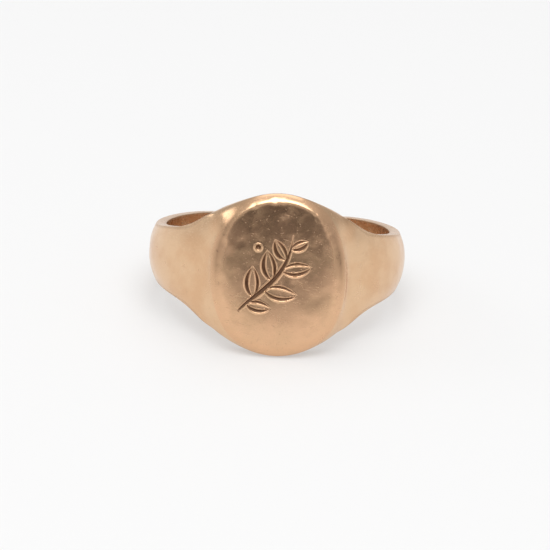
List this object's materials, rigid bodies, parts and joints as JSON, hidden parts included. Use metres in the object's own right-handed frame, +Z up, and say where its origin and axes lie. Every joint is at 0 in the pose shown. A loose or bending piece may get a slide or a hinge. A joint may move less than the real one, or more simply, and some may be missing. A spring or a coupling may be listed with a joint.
{
  "type": "signet ring",
  "caption": "Oval signet ring lying on its side, with a flat seal face, tapered shoulders and a narrow half-round shank.",
  "frame": {"origin": "on the surface that the ring lies on, under the centre of its box", "axes": "+Z up from that surface, -Y towards the side that the seal face looks to, +X across the finger to the right of the seal face"},
  "size_m": [0.0208, 0.022, 0.0127],
  "materials": {
    "rose_gold": "worn polished 9 carat rose gold with fine scratches",
    "face_gold": "worn 9 carat rose gold, hand engraved",
    "solder": "polished gold solder, slightly paler"
  },
  "bodies": {
    "root": {"signet_table": "face_gold", "table_solder": "solder", "head_collar": "rose_gold", "finger_liner": "rose_gold", "liner_solder": "solder", "left_shoulder": "rose_gold", "right_shoulder": "rose_gold", "left_shoulder_solder": "solder", "right_shoulder_solder": "solder", "back_shank": "rose_gold", "left_shank_solder": "solder", "right_shank_solder": "solder"}
  },
  "joints": []
}
